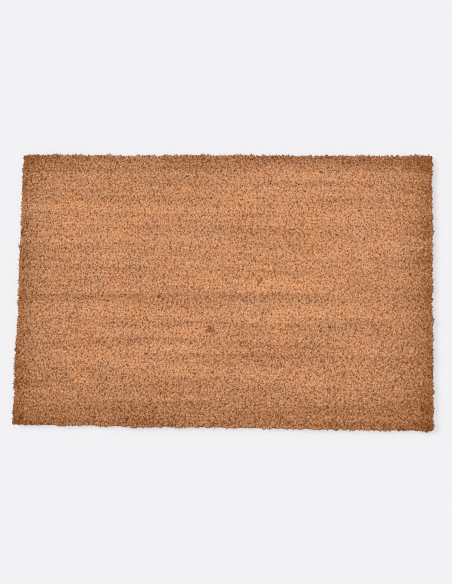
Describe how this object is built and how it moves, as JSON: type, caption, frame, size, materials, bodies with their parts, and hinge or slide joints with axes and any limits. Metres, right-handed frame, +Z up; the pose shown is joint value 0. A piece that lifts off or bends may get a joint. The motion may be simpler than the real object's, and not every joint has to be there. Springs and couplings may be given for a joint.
{
  "type": "door mat",
  "caption": "Flat rectangular door mat: a dense level pile of cut coir tufts planted in rows in a thin vinyl backing sheet.",
  "frame": {"origin": "middle of the underside, on the surface that the mat lies on", "axes": "+X along the tuft rows and the mat's long sides, +Y across the rows, +Z up out of the pile"},
  "size_m": [0.6, 0.4, 0.015],
  "materials": {
    "coir_pile": "matte",
    "vinyl_backing": "matte"
  },
  "bodies": {
    "root": {"backing_sheet": "vinyl_backing", "tuft_rows_01": "coir_pile", "tuft_rows_02": "coir_pile", "tuft_rows_03": "coir_pile", "tuft_rows_04": "coir_pile", "tuft_rows_05": "coir_pile", "tuft_rows_06": "coir_pile", "tuft_rows_07": "coir_pile", "tuft_rows_08": "coir_pile", "tuft_rows_09": "coir_pile", "tuft_rows_10": "coir_pile", "tuft_rows_11": "coir_pile", "tuft_rows_12": "coir_pile", "tuft_rows_13": "coir_pile", "tuft_rows_14": "coir_pile", "tuft_rows_15": "coir_pile", "tuft_rows_16": "coir_pile", "tuft_rows_17": "coir_pile", "tuft_rows_18": "coir_pile", "tuft_rows_19": "coir_pile", "tuft_rows_20": "coir_pile", "tuft_rows_21": "coir_pile", "tuft_rows_22": "coir_pile"}
  },
  "joints": []
}
